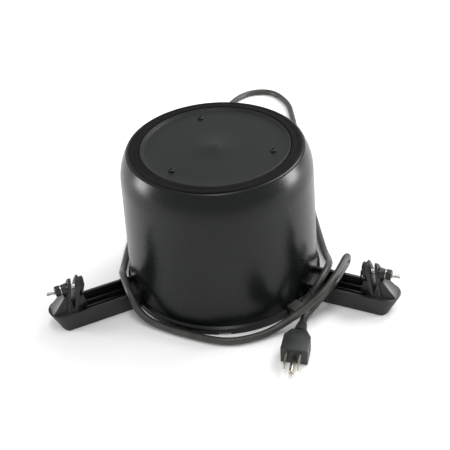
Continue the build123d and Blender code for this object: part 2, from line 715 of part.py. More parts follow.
def free_cord_radii(points):
    """Bend radius at each inner point: as large as the runs beside it allow."""
    radii = []
    for before, here, after in zip(points, points[1:], points[2:]):
        back = Vector(*before) - Vector(*here)
        ahead = Vector(*after) - Vector(*here)
        turn = 180 - back.get_angle(ahead)
        run = min(back.length, ahead.length)
        radii.append(0.45 * run / math.tan(math.radians(turn / 2)))
    return radii


def make_tube(points, label):
    radii = free_cord_radii(points)
    path = FilletPolyline(*points, radius=radii)
    start = Vector(*points[0])
    section = Plane(start, z_dir=path % 0) * Circle(CORD_D / 2)
    tube = sweep(section, path)
    exact = math.pi * CORD_D**2 / 4 * path.length
    print(f"{label}: length {path.length:.1f}, volume ratio {tube.volume / exact:.5f}")
    print("  radii / diameter:", " ".join(f"{radius / CORD_D:.1f}" for radius in radii))
    return tube


def make_inner_lead():
    direction = (math.cos(math.radians(ENTRY_AZIMUTH)), math.sin(math.radians(ENTRY_AZIMUTH)))
    path = (
        (STUB_END_R, ENTRY_Z),
        (STUB_END_R - 6.0, ENTRY_Z),
        (STUB_END_R - 11.5, ENTRY_Z + 5.5),
        (LEAD_RISE_R - 4.6, ENTRY_Z + 20.0),
        (LEAD_RISE_R, CLIP_Z[0] - CLIP_H),
        (LEAD_RISE_R, CLIP_Z[-1] + 2 * CLIP_H),
        (LEAD_RISE_R - 8.0, LEAD_TOP_Z - 10.0),
        (CAN_R + 18.0, LEAD_TOP_Z),
        (BLOCK_START_R + BLOCK_SIZE[0], LEAD_TOP_Z),
    )
    return make_tube([(r * direction[0], r * direction[1], z) for r, z in path], "inner lead")


def make_lead_clips():
    clips = []
    for z in CLIP_Z:
        fall = (BODY_LOW_R - BODY_TOP_R) / (SHOULDER_Z - RIM_H - 1.5)
        wall_r = BODY_LOW_R - WALL - fall * (z - RIM_H)
        hoop = ring(CORD_D / 2 + CLIP_T, CORD_D / 2 + 0.3, 0, CLIP_H)
        foot = Pos(CORD_D / 2 + 0.5, 0, 0) * Box(10, 12, CLIP_H, align=(Align.MIN, Align.CENTER, Align.MIN))
        clip = at(ENTRY_AZIMUTH, LEAD_RISE_R, z) * (hoop + foot)
        clips.append((clip & disc(wall_r - 0.3, z, CLIP_H)))
    return Compound(children=clips)


def make_terminal_block():
    spot = at(ENTRY_AZIMUTH, BLOCK_START_R, WEB_TOP_Z)
    return spot * Box(*BLOCK_SIZE, align=(Align.MIN, Align.CENTER, Align.MIN))


def make_capacitor():
    can = Cylinder(CAPACITOR_R, CAPACITOR_L)
    can = fillet(can.edges().filter_by(GeomType.CIRCLE), 1.2)
    return Rot(0, 0, ENTRY_AZIMUTH) * Pos(-CAPACITOR_OFFSET, 0, WEB_TOP_Z + CAPACITOR_R) * Rot(90, 0, 0) * can


def plug_location():
    """Frame at the cord's end: X along the cord, towards the blades, Z up."""
    end = Vector(*CORD_POINTS[-1])
    before = Vector(*CORD_POINTS[-2])
    heading = math.degrees(math.atan2(end.Y - before.Y, end.X - before.X))
    return Pos(end.X, end.Y, PLUG_H / 2 + 0.1) * Rot(0, 0, heading), Plane(end, z_dir=end - before)


def make_plug_boot():
    _, section = plug_location()
    spot, _ = plug_location()
    small = section * Circle(CORD_D / 2 + 1.0)
    large = spot * Pos(PLUG_BOOT_L, 0, 0) * Rot(0, 90, 0) * Circle(PLUG_BOOT_R)
    return loft([small, large])


def make_plug_body():
    spot, _ = plug_location()
    wide = Rot(0, 90, 0) * RectangleRounded(PLUG_H, PLUG_W, 5)
    neck = Rot(0, 90, 0) * RectangleRounded(13, 15, 5)
    shoulders = loft([Pos(PLUG_BOOT_L, 0, 0) * neck, Pos(PLUG_BOOT_L + 10, 0, 0) * wide])
    body = extrude(Pos(PLUG_BOOT_L + 10, 0, 0) * wide, PLUG_L - 10)
    return spot * (shoulders + body)


def make_plug_blades():
    spot, _ = plug_location()
    front = PLUG_BOOT_L + PLUG_L
    blades = []
    for side in (-1, 1):
        blade = Pos(front, side * PLUG_BLADE_PITCH / 2, 2.5) * Box(
            BLADE_L, PLUG_BLADE_T, PLUG_BLADE_W, align=(Align.MIN, Align.CENTER, Align.CENTER)
        )
        blades.append(spot * chamfer(blade.edges().group_by(Axis.X)[-1].filter_by(Axis.Z), 0.4))
    return Compound(children=blades)


def make_earth_pin():
    spot, _ = plug_location()
    pin = Cylinder(EARTH_PIN_R, EARTH_PIN_L, align=(Align.CENTER, Align.CENTER, Align.MIN))
    pin = fillet(pin.edges().group_by(Axis.Z)[-1], EARTH_PIN_R * 0.8)
    return spot * Pos(PLUG_BOOT_L + PLUG_L, 0, 2.5 - EARTH_PIN_DROP) * Rot(0, 90, 0) * pin


def all_parts():
    parts = {
        "housing": make_housing(),
        "foot_ring": make_foot_ring(),
        "top_cover": make_top_cover(),
        "cover_gasket": make_cover_gasket(),
        "cover_screws": make_cover_screws(),
        "motor_can": make_motor_can(),
        "motor_screws": make_motor_screws(),
        "motor_end_cover": make_end_cover(),
        "end_cover_gasket": make_end_gasket(),
        "end_cover_screws": make_end_screws(),
        "upper_bearing": bearing(WEB_TOP_Z - WEB_T),
        "lower_bearing": bearing(end_cover_top() - BEARING_T),
        "shaft_seal": make_shaft_seal(),
        "stator_core": make_stator_core(),
        "stator_windings": make_stator_windings(),
        "rotor": make_rotor(),
        "shaft": make_shaft(),
        "propeller": make_propeller(),
        "propeller_washer": make_propeller_washer(),
        "propeller_nut": make_propeller_nut(),
        "inlet_guard": make_inlet_guard(),
        "guard_screws": make_guard_screws(),
        "terminal_block": make_terminal_block(),
        "run_capacitor": make_capacitor(),
        "cord_entry": make_cord_entry(),
        "inner_lead": make_inner_lead(),
        "lead_clips": make_lead_clips(),
        "power_cord": make_tube(CORD_POINTS, "power cord"),
        "plug_boot": make_plug_boot(),
        "plug_body": make_plug_body(),
        "plug_blades": make_plug_blades(),
        "plug_earth_pin": make_earth_pin(),
    }
    for name in ARM_NAMES:
        azimuth = arm_azimuth(name)
        parts[f"float_arm_{name}"] = make_arm(azimuth, name in PEG_ARMS)
        parts[f"arm_screws_{name}"] = make_arm_screws(azimuth)
        if name in PEG_ARMS:
            parts[f"arm_pegs_{name}"] = make_arm_pegs(azimuth)
        parts[f"clamp_bolt_{name}"] = make_clamp_bolt(azimuth)
        parts[f"clamp_washer_{name}"] = make_clamp_washer(azimuth)
        parts[f"clamp_nut_{name}"] = make_clamp_nut(azimuth)
    return parts


os.makedirs("parts", exist_ok=True)
for node, shape in all_parts().items():
    export_step(shape, f"parts/{node}.step")
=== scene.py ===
import bpy
import json
import math
from mathutils import Matrix, Vector


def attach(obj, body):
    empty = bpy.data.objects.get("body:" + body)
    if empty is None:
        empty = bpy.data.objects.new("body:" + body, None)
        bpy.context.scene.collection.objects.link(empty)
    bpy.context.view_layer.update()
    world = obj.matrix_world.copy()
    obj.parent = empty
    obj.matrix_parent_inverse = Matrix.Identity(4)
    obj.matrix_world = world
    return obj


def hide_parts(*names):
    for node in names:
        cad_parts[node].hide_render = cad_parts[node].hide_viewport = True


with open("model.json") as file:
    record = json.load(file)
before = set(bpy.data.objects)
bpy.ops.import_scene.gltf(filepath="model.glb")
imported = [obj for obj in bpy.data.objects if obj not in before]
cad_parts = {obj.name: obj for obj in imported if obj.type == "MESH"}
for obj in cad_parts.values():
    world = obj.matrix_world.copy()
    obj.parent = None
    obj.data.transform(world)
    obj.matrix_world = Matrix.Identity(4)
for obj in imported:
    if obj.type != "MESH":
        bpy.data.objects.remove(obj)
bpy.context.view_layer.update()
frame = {"nodes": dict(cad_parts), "record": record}
nodes = frame["nodes"]

MM = 0.001

# ---------------------------------------------------------------- small helpers


def linear(hex_colour):
    """sRGB hex to a linear colour with alpha."""
    channels = [int(hex_colour[i:i + 2], 16) / 255 for i in (1, 3, 5)]
    return (*[c / 12.92 if c <= 0.04045 else ((c + 0.055) / 1.055) ** 2.4 for c in channels], 1.0)


def deselect():
    if bpy.context.mode != "OBJECT":
        bpy.ops.object.mode_set(mode="OBJECT")
    bpy.ops.object.select_all(action="DESELECT")


def make_active(obj):
    deselect()
    obj.select_set(True)
    bpy.context.view_layer.objects.active = obj


def named(name):
    """The object that an operator has just added, named."""
    obj = bpy.context.active_object
    obj.name = name
    obj.data.name = name
    return obj


def finish_modifiers(obj):
    make_active(obj)
    for modifier in list(obj.modifiers):
        bpy.ops.object.modifier_apply(modifier=modifier.name)


def settle(obj, matrix=None):
    """Puts the piece's place into its mesh, so its object sits at the origin."""
    make_active(obj)
    bpy.ops.object.transform_apply(location=True, rotation=True, scale=True)
    if matrix is not None:
        obj.data.transform(matrix)
    obj.data.update()
    return obj


def tidy_normals(obj, gap=0.00001):
    make_active(obj)
    bpy.ops.object.mode_set(mode="EDIT")
    bpy.ops.mesh.select_all(action="SELECT")
    bpy.ops.mesh.remove_doubles(threshold=gap)
    bpy.ops.mesh.normals_make_consistent(inside=False)
    bpy.ops.object.mode_set(mode="OBJECT")


def bevel(obj, width, segments=2, angle=30.0):
    modifier = obj.modifiers.new("edges", "BEVEL")
    modifier.width = width * MM
    modifier.segments = segments
    modifier.limit_method = "ANGLE"
    modifier.angle_limit = math.radians(angle)
    modifier.harden_normals = False
    finish_modifiers(obj)


def smooth(obj, angle=30.0):
    make_active(obj)
    bpy.ops.object.shade_smooth_by_angle(angle=math.radians(angle))


def join(pieces, name):
    bpy.context.view_layer.update()
    deselect()
    for piece in pieces:
        piece.select_set(True)
    bpy.context.view_layer.objects.active = pieces[0]
    bpy.ops.object.join()
    return named(name)


def add_box(name, low, high):
    """A cube primitive between two corners in mm."""
    deselect()
    size = [b - a for a, b in zip(low, high)]
    bpy.ops.mesh.primitive_cube_add(size=1, location=[(a + b) / 2 * MM for a, b in zip(low, high)])
    obj = named(name)
    obj.scale = [s * MM for s in size]
    bpy.ops.object.transform_apply(location=True, rotation=True, scale=True)
    return obj


def cut(obj, tool, operation="DIFFERENCE"):
    modifier = obj.modifiers.new("cut", "BOOLEAN")
    modifier.operation = operation
    modifier.object = tool
    modifier.solver = "EXACT"
    finish_modifiers(obj)
    bpy.data.objects.remove(tool)


def select_faces(obj, test):
    """Edit mode with only the faces that pass the test selected."""
    make_active(obj)
    bpy.ops.object.mode_set(mode="EDIT")
    bpy.ops.mesh.select_mode(type="FACE")
    bpy.ops.mesh.select_all(action="DESELECT")
    bpy.ops.object.mode_set(mode="OBJECT")
    for face in obj.data.polygons:
        face.select = test(face)
    bpy.ops.object.mode_set(mode="EDIT")


def turn(name, outline, steps=96):
    """A closed outline of (radius, height) in mm, drawn vertex by vertex and spun round Z."""
    deselect()
    bpy.ops.mesh.primitive_plane_add(size=MM, location=(0, 0, 0))
    obj = named(name)
    bpy.ops.object.mode_set(mode="EDIT")
    bpy.ops.mesh.select_mode(type="VERT")
    bpy.ops.mesh.select_all(action="SELECT")
    bpy.ops.mesh.merge(type="CENTER")
    r0, z0 = outline[0]
    bpy.ops.transform.translate(value=(r0 * MM, 0, z0 * MM))
    for (r, z), (r_last, z_last) in zip([*outline[1:], outline[0]], outline):
        bpy.ops.mesh.extrude_region_move(
            TRANSFORM_OT_translate={"value": ((r - r_last) * MM, 0, (z - z_last) * MM)}
        )
    bpy.ops.mesh.select_all(action="SELECT")
    bpy.ops.mesh.spin(steps=steps, angle=2 * math.pi, center=(0, 0, 0), axis=(0, 0, 1))
    bpy.ops.mesh.select_all(action="SELECT")
    bpy.ops.mesh.remove_doubles(threshold=0.00001)
    bpy.ops.mesh.normals_make_consistent(inside=False)
    bpy.ops.object.mode_set(mode="OBJECT")
    return obj


def copies(obj, name, matrices):
    """One mesh of the piece at each place."""
    pieces = []
    for matrix in matrices:
        piece = obj.copy()
        piece.data = obj.data.copy()
        bpy.context.collection.objects.link(piece)
        piece.data.transform(matrix)
        piece.data.update()
        pieces.append(piece)
    bpy.data.objects.remove(obj)
    return join(pieces, name)


def around_z(azimuth, x=0.0, y=0.0, z=0.0):
    """Place in mm, on a line from the axis at that azimuth, with local X looking outward."""
    return Matrix.Rotation(math.radians(azimuth), 4, "Z") @ Matrix.Translation((x * MM, y * MM, z * MM))


# ---------------------------------------------------------------- camera

CAMERA_AT = (0.0262, -0.6829, 0.5595)
CAMERA_HEADING = 1.858   # degrees from +Y towards -X
CAMERA_TILT = 53.61      # degrees up from straight down
CAMERA_ROLL = -4.06
LENS_MM = 67.41
SENSOR_MM = 36.0

camera_data = bpy.data.cameras.new("camera")
camera_data.lens = LENS_MM
camera_data.sensor_width = SENSOR_MM
camera = bpy.data.objects.new("camera", camera_data)
bpy.context.scene.collection.objects.link(camera)
camera.matrix_world = (
    Matrix.Translation(CAMERA_AT)
    @ Matrix.Rotation(math.radians(CAMERA_HEADING), 4, "Z")
    @ Matrix.Rotation(math.radians(CAMERA_TILT), 4, "X")
    @ Matrix.Rotation(math.radians(CAMERA_ROLL), 4, "Z")
)
bpy.context.scene.camera = camera

# ---------------------------------------------------------------- cord

CORD_D = 7.2
# the free cord's route from its entry block to the plug, mm
CORD_POINTS = (
    (74.6, -71.3, 5.0), (83.4, -63.4, 9.0), (92.0, -61.0, 23.4), (105.5, -35.0, 25.6),
    (108.0, -13.0, 14.5), (106.5, 12.0, 3.6), (104.0, 40.0, 3.6), (99.5, 100.0, 3.6),
    (96.5, 180.0, 3.6), (96.0, 250.0, 3.6), (94.0, 305.0, 3.6), (91.5, 346.0, 3.6),
    (70.0, 383.5, 3.6), (33.0, 381.0, 3.6), (6.0, 343.0, 3.6), (-15.0, 275.0, 3.6),
    (-42.0, 215.0, 3.6), (-71.0, 160.0, 3.6), (-91.0, 110.0, 3.6), (-101.0, 64.0, 3.6),
    (-104.2, 24.0, 3.6), (-105.2, -7.5, 8.0), (-101.5, -28.5, 24.2), (-92.0, -60.0, 24.2),
    (-81.0, -76.5, 7.5), (-60.0, -89.0, 3.6), (-31.0, -103.0, 3.6), (2.0, -114.5, 3.6),
    (33.0, -108.0, 3.6), (52.0, -98.5, 6.0), (68.0, -91.0, 12.5), (84.0, -83.0, 20.0),
    (98.5, -74.0, 28.5), (109.0, -59.0, 31.2), (116.5, -43.6, 31.0), (124.5, -27.8, 32.6),
    (124.5, -26.4, 21.2), (116.0, -42.5, 21.9), (108.5, -58.5, 22.8), (98.0, -70.0, 21.0),
    (85.0, -74.5, 5.0), (77.0, -83.0, 3.7), (73.8, -95.8, 5.0),
)


def add_route(name, points, bevel_mm):
    curve = bpy.data.curves.new(name, "CURVE")
    curve.dimensions = "3D"
    spline = curve.splines.new("NURBS")
    spline.points.add(len(points) - 1)
    for spot, (x, y, z) in zip(spline.points, points):
        spot.co = (x * MM, y * MM, z * MM, 1.0)
        spot.radius = bevel_mm * MM
    spline.order_u = 3
    spline.use_endpoint_u = True
    curve.resolution_u = 12
    curve.bevel_depth = 1.0       # times each point's own radius
    curve.bevel_resolution = 5
    obj = bpy.data.objects.new(name, curve)
    bpy.context.collection.objects.link(obj)
    return obj


def route_line(obj):
    """The points that the cord's own spline passes, in metres."""
    bare = obj.copy()
    bare.data = obj.data.copy()
    bare.data.bevel_depth = 0
    bpy.context.collection.objects.link(bare)
    bpy.context.view_layer.update()
    evaluated = bare.evaluated_get(bpy.context.evaluated_depsgraph_get())
    mesh = bpy.data.meshes.new_from_object(evaluated)
    line = [vertex.co.copy() for vertex in mesh.vertices]
    bpy.data.objects.remove(bare)
    return line


power_cord = add_route("power_cord_sheath", CORD_POINTS, CORD_D / 2)
cord_line = route_line(power_cord)
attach(power_cord, "pump_body")
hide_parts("power_cord")

# ---------------------------------------------------------------- strain relief where the cord leaves

RELIEF_L = 21.0
RELIEF_START_R = 5.3
RELIEF_END_R = 4.2
RELIEF_RIB = 0.5          # height of a rib
RELIEF_RIBS = 5
LEVEL_STEP = 0.01         # metres between a sleeve's rings before they are put in place


def point_along(line, distance):
    """Point and direction at a distance along a line, in metres."""
    for here, after in zip(line, line[1:]):
        run = (after - here).length
        if distance <= run and run > 0:
            return here.lerp(after, distance / run), (after - here).normalized()
        distance -= run
    return line[-1], (line[-1] - line[-2]).normalized()


def sleeve(name, line, rings, segments=32):
    """A closed sleeve along a line: a circle primitive at the first ring, extruded ring by ring."""
    deselect()
    bpy.ops.mesh.primitive_circle_add(
        vertices=segments, radius=1.0, fill_type="NGON", location=(0, 0, 0)
    )
    obj = named(name)
    bpy.ops.object.mode_set(mode="EDIT")
    bpy.ops.mesh.select_all(action="SELECT")
    for _ in rings[1:]:
        bpy.ops.mesh.extrude_region_move(TRANSFORM_OT_translate={"value": (0, 0, LEVEL_STEP)})
    bpy.ops.object.mode_set(mode="OBJECT")
    levels = sorted({round(vertex.co.z, 4) for vertex in obj.data.vertices})
    for vertex in obj.data.vertices:
        distance, radius = rings[levels.index(round(vertex.co.z, 4))]
        at, along = point_along(line, distance * MM)
        side = Vector((0, 0, 1)).cross(along).normalized()
        up = along.cross(side)
        spin = math.atan2(vertex.co.y, vertex.co.x)
        vertex.co = at + radius * MM * (math.cos(spin) * side + math.sin(spin) * up)
    obj.data.update()
    tidy_normals(obj)
    return obj


def relief_rings(length, start_r, end_r, ribs, lead=3.0):
    """Rings of a tapered boot with grooves between its ribs: (distance, radius) in mm."""
    rings = [(0.0, start_r), (lead, start_r)]
    pitch = (length - lead - 2.0) / ribs
    for i in range(ribs):
        start = lead + i * pitch
        share = (start + pitch / 2) / length
        radius = start_r + (end_r - start_r) * share
        rings += [
            (start + 0.15 * pitch, radius - RELIEF_RIB),
            (start + 0.40 * pitch, radius - RELIEF_RIB),
            (start + 0.55 * pitch, radius),
            (start + 0.98 * pitch, radius),
        ]
    rings += [(length - 0.6, end_r), (length, end_r - 0.5)]
    return rings


entry_relief = sleeve(
    "entry_strain_relief", cord_line, relief_rings(RELIEF_L, RELIEF_START_R, RELIEF_END_R, RELIEF_RIBS)
)
smooth(entry_relief, 40)
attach(entry_relief, "pump_body")

# ---------------------------------------------------------------- plug

PLUG_AT = (73.8, -95.8, 8.6)
PLUG_HEADING = -104.036
PLUG_BOOT_L = 17.0
PLUG_L = 30.0
PLUG_W = 25.0
PLUG_H = 17.0
PLUG_SHOULDER_L = 11.0    # boot's end to where the body is full width
NECK_WIDTH_SHARE = 0.56
NECK_HEIGHT_SHARE = 0.72
GROOVE_COUNT = 4
GROOVE_START = 13.0       # boot's end to the first groove
GROOVE_PITCH = 3.4
GROOVE_W = 1.6
GROOVE_DEPTH = 0.8
GROOVE_MARGIN = 4.0       # groove's ends in from the body's top and bottom
BOOT_RIBS = 5
BOOT_RIB_PITCH = 3.1
BOOT_START_R = 4.7
BOOT_RIB_GROWTH = 0.36
BOOT_END_R = 6.2
plug_place = around_z(0, *PLUG_AT) @ Matrix.Rotation(math.radians(PLUG_HEADING), 4, "Z")


def plug_line():
    """From the cord's last stretch into the boot's end, level with the plug."""
    end = plug_place @ Vector((PLUG_BOOT_L * MM, 0, 0))
    return [cord_line[-1], end]


# ribbed boot: thin at the cord, wide where it meets the body
boot_rings = [(0.0, 4.1), (0.5, 4.6)]
for i in range(BOOT_RIBS):
    start = 1.0 + i * BOOT_RIB_PITCH
    radius = BOOT_START_R + BOOT_RIB_GROWTH * i
    boot_rings += [
        (start, radius), (start + 1.6, radius + 0.15),
        (start + 1.9, radius - 0.55), (start + 2.8, radius - 0.5),
    ]
boot_rings += [(PLUG_BOOT_L - 0.4, BOOT_END_R), (PLUG_BOOT_L, BOOT_END_R)]
plug_boot = sleeve("plug_strain_relief", plug_line(), boot_rings)
smooth(plug_boot, 40)
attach(plug_boot, "pump_body")
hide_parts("plug_boot")


# body: a block whose cord end is drawn in, with finger grooves down both sides
plug_body = add_box(
    "plug_body_shell",
    (PLUG_BOOT_L, -PLUG_W / 2, -PLUG_H / 2), (PLUG_BOOT_L + PLUG_L, PLUG_W / 2, PLUG_H / 2),
)
shoulder_x = (PLUG_BOOT_L + PLUG_SHOULDER_L) * MM
select_faces(plug_body, lambda face: face.normal.x < -0.5)
bpy.ops.transform.resize(
    value=(1, NECK_WIDTH_SHARE, NECK_HEIGHT_SHARE), center_override=(PLUG_BOOT_L * MM, 0, 0)
)
bpy.ops.mesh.select_all(action="SELECT")
bpy.ops.mesh.bisect(plane_co=(shoulder_x, 0, 0), plane_no=(1, 0, 0))
bpy.ops.object.mode_set(mode="OBJECT")
for vertex in plug_body.data.vertices:
    if abs(vertex.co.x - shoulder_x) < 1e-5:
        vertex.co.y = math.copysign(PLUG_W / 2 * MM, vertex.co.y)
        vertex.co.z = math.copysign(PLUG_H / 2 * MM, vertex.co.z)
for side in (-1, 1):
    for i in range(GROOVE_COUNT):
        x = PLUG_BOOT_L + GROOVE_START + GROOVE_PITCH * i
        y = side * (PLUG_W / 2 + 0.3)
        low, high = sorted((y, y - side * (GROOVE_DEPTH + 0.3)))
        groove = add_box(
            "groove",
            (x, low, -PLUG_H / 2 + GROOVE_MARGIN), (x + GROOVE_W, high, PLUG_H / 2 - GROOVE_MARGIN),
        )
        cut(plug_body, groove)
bevel(plug_body, 2.2, 4, 50)
smooth(plug_body, 35)
settle(plug_body, plug_place)
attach(plug_body, "pump_body")
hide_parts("plug_body")

# ---------------------------------------------------------------- top cover and foot ring

RECESS_EDGE_R = 71.8
COVER_UNDER_Z = 146.6
COVER_TOP_Z = 149.0
FOOT_RING_TOP_Z = 151.6
COVER_SCREW_R = 56.0
COVER_SCREW_AZIMUTHS = (105.0, 225.0, 345.0)
COVER_SCREW_SHANK_R = 1.5

top_cover = turn("cover_disc", [
    (0.0, COVER_UNDER_Z), (RECESS_EDGE_R, COVER_UNDER_Z), (RECESS_EDGE_R, 150.2), (71.6, 150.75),
    (71.2, 151.1), (70.7, 151.2), (70.1, 151.1), (69.8, 150.8), (69.5, 150.3), (69.2, 150.1),
    (68.5, 150.05), (68.2, 149.9), (67.9, 149.4), (67.5, 149.1), (67.0, COVER_TOP_Z),
    (COVER_SCREW_R, COVER_TOP_Z), (30.0, COVER_TOP_Z), (3.6, COVER_TOP_Z), (3.3, 149.12), (3.0, 149.15),
    (2.7, 149.12), (2.4, COVER_TOP_Z), (0.9, COVER_TOP_Z), (0.6, 149.2), (0.0, 149.25),
], steps=160)
for azimuth in COVER_SCREW_AZIMUTHS:
    deselect()
    bpy.ops.mesh.primitive_cylinder_add(
        vertices=32, radius=COVER_SCREW_SHANK_R * MM, depth=8 * MM, location=(0, 0, 0)
    )
    cut(top_cover, settle(named("hole"), around_z(azimuth, COVER_SCREW_R, 0, COVER_TOP_Z)))
smooth(top_cover, 50)
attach(top_cover, "pump_body")
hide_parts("top_cover")

foot_ring = turn("foot_ring_moulding", [
    (72.2, 148.6), (82.0, 148.6), (82.0, 150.9), (81.8, 151.3), (81.4, 151.53), (80.9, FOOT_RING_TOP_Z),
    (77.6, FOOT_RING_TOP_Z), (77.3, 151.45), (76.9, 151.45), (76.6, FOOT_RING_TOP_Z),
    (73.3, FOOT_RING_TOP_Z), (72.8, 151.53), (72.4, 151.3), (72.2, 150.9),
], steps=160)
smooth(foot_ring, 60)
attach(foot_ring, "pump_body")
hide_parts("foot_ring")


# ---------------------------------------------------------------- screws, bolts, washers and nuts

def pan_screw(name, shank_r, head_r, head_h, length):
    """Pan-head screw with a cross recess, its head seated at z = 0 and its shank pointing down."""
    screw = turn(name, [
        (0, -length), (shank_r * 0.75, -length), (shank_r, -length + 0.6), (shank_r, 0), (head_r, 0),
        (head_r, 0.35 * head_h), (0.93 * head_r, 0.68 * head_h), (0.72 * head_r, 0.9 * head_h),
        (0.4 * head_r, head_h), (0, head_h),
    ], steps=32)
    across, along = 0.13 * head_r, 0.62 * head_r
    for x, y in ((along, across), (across, along)):
        cut(screw, add_box("recess", (-x, -y, 0.35 * head_h), (x, y, head_h + 1)))
    smooth(screw, 35)
    return screw


cover_screws = copies(
    pan_screw("screw", COVER_SCREW_SHANK_R, 2.9, 2.0, 7.4), "cover_screws_pan_head",
    [
        around_z(azimuth, COVER_SCREW_R, 0, COVER_TOP_Z) @ Matrix.Rotation(0.4 * azimuth, 4, "Z")
        for azimuth in COVER_SCREW_AZIMUTHS
    ],
)
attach(cover_screws, "pump_body")
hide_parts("cover_screws")

ARMS = {"right": 335.8, "rear": 90.0, "left": 204.2}
BOLT_Z = 40.0
OUTER_LUG_R = 169.6
BOSS_R = 150.0            # axis to the face that the bolt's head bears on
BOLT_END_R = 184.0
THREAD_R = 2.48
CLEAR_R = 2.55            # bore of washer and nut
NUT_AF = 9.0
NUT_H = 5.0
WASHER_R = 5.0
WASHER_T = 1.0
THREAD_PITCH = 0.8
THREAD_START = 19.0      # along the bolt from its head
POINT_L = 7.5
POINT_R = 1.6


def facing_out(azimuth, r):
    """Place on the clamp bolt's axis whose local Z looks outward."""
    return around_z(azimuth, r, 0, BOLT_Z) @ Matrix.Rotation(math.pi / 2, 4, "Y")


def hexagon(name, flats, low, high):
    """Hexagonal prism with both ends' corners turned down, along Z in mm."""
    deselect()
    radius = flats / math.sqrt(3)
    bpy.ops.mesh.primitive_cylinder_add(
        vertices=6, radius=radius * MM, depth=(high - low) * MM, location=(0, 0, (low + high) / 2 * MM)
    )
    prism = settle(named(name))
    face_r = 0.47 * flats
    slope = 0.3 * (radius - face_r) + 0.3
    cone = turn("turned", [
        (0, low - 0.01), (face_r, low - 0.01), (radius + 0.02, low + slope),
        (radius + 0.02, high - slope), (face_r, high + 0.01), (0, high + 0.01),
    ], steps=48)
    cut(prism, cone, "INTERSECT")
    return prism


def make_clamp_bolt():
    """Bolt whose thread ends in a thinner plain point that the nut starts over."""
    reach = BOLT_END_R - BOSS_R
    outline = [(0, -0.5), (2.45, -0.5), (2.45, THREAD_START)]
    z = THREAD_START
    while z < reach - POINT_L:
        outline += [(2.2, z + 0.1), (2.2, z + 0.3), (THREAD_R, z + 0.6), (THREAD_R, z + THREAD_PITCH)]
        z += THREAD_PITCH
    outline += [(POINT_R, z + 0.8), (POINT_R, reach - 0.5), (POINT_R - 0.5, reach), (0, reach)]
    return turn("bolt", outline, steps=32)


def make_bolt_cap():
    """Rounded cap moulded over the bolt's head."""
    outline = [(0, 0), (4.2, 0), (4.2, -1.0), (3.8, -2.0), (3.0, -2.7), (1.8, -3.2), (0, -3.4)]
    return turn("cap", outline, steps=40)


def make_nut():
    nut = hexagon("nut", NUT_AF, 0.0, NUT_H)
    deselect()
    bpy.ops.mesh.primitive_cylinder_add(
        vertices=48, radius=CLEAR_R * MM, depth=12 * MM, location=(0, 0, NUT_H / 2 * MM)
    )
    cut(nut, settle(named("bore")))
    return nut


bright_pieces = []        # bolts and washers
dark_pieces = []          # nuts and caps
for arm, azimuth in ARMS.items():
    bolt = make_clamp_bolt()
    nut = make_nut()
    washer = turn("washer", [
        (CLEAR_R, 0.1), (CLEAR_R + 0.1, 0), (WASHER_R - 0.15, 0), (WASHER_R, 0.15),
        (WASHER_R, WASHER_T - 0.15), (WASHER_R - 0.15, WASHER_T), (CLEAR_R + 0.1, WASHER_T),
        (CLEAR_R, WASHER_T - 0.1),
    ], steps=48)
    for piece, node, r, body in (
        (bolt, "clamp_bolt", BOSS_R, "pump_body"),
        (washer, "clamp_washer", OUTER_LUG_R, f"clamp_washer_{arm}"),
        (nut, "clamp_nut", OUTER_LUG_R + WASHER_T, f"clamp_nut_{arm}"),
    ):
        settle(piece, facing_out(azimuth, r))
        piece.name = f"{node}_{arm}_turned"
        smooth(piece, 30)
        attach(piece, body)
        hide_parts(f"{node}_{arm}")
    cap = settle(make_bolt_cap(), facing_out(azimuth, BOSS_R))
    cap.name = f"clamp_bolt_cap_{arm}"
    smooth(cap, 40)
    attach(cap, "pump_body")
    bright_pieces += [bolt, washer]
    dark_pieces += [nut, cap]

# ---------------------------------------------------------------- float arms


def softened_copy(node, name, width, segments=2):
    """A merged copy of a CAD node with its edges rounded."""
    source = nodes[node]
    obj = bpy.data.objects.new(name, source.data.copy())
    bpy.context.collection.objects.link(obj)
    make_active(obj)
    obj.matrix_world = Matrix.Identity(4)
    bpy.ops.object.mode_set(mode="EDIT")
    bpy.ops.mesh.select_all(action="SELECT")
    bpy.ops.mesh.remove_doubles(threshold=0.00001)
    bpy.ops.mesh.dissolve_limited(angle_limit=math.radians(1.0))
    bpy.ops.object.mode_set(mode="OBJECT")
    bevel(obj, width, segments, 35)
    smooth(obj, 35)
    return obj


ARM_TOP_Z = 18.0
FORK_LEAN = 14.0          # degrees, the lugs' tops towards the housing
ARM_END_R = 171.0         # centre of the arm's round end
HULL_DRAW_IN = 8.0        # the sole's edge is drawn in this far at the tip of the end
ARM_HALF_W = 14.7
LUG_TOP_Z = 50.0
LUG_TOP_SHARE = 0.45      # width of a lug's top against its foot
LUG_START_R = 160.0
ROOT_TOP_Z = 13.5
LUG_BOSS_R = 4.8
LUG_BOSS_L = 5.4
LUG_BOSS_BORE_R = 2.6
ROOT_IN_R = 94.0
ROOT_OUT_R = 107.6
ROOT_HALF_W = 11.9


def lean_fork(obj, outward, across):
    """Leans the fork towards the housing and narrows its lugs towards their tops."""
    for vertex in obj.data.vertices:
        rise = vertex.co.z - ARM_TOP_Z * MM
        if rise > 0.00002:
            if vertex.co.dot(outward) > LUG_START_R * MM:
                share = 1 - (1 - LUG_TOP_SHARE) * rise / ((LUG_TOP_Z - ARM_TOP_Z) * MM)
                vertex.co -= across * vertex.co.dot(across) * (1 - share)
            vertex.co -= outward * rise * math.tan(math.radians(FORK_LEAN))
    obj.data.update()


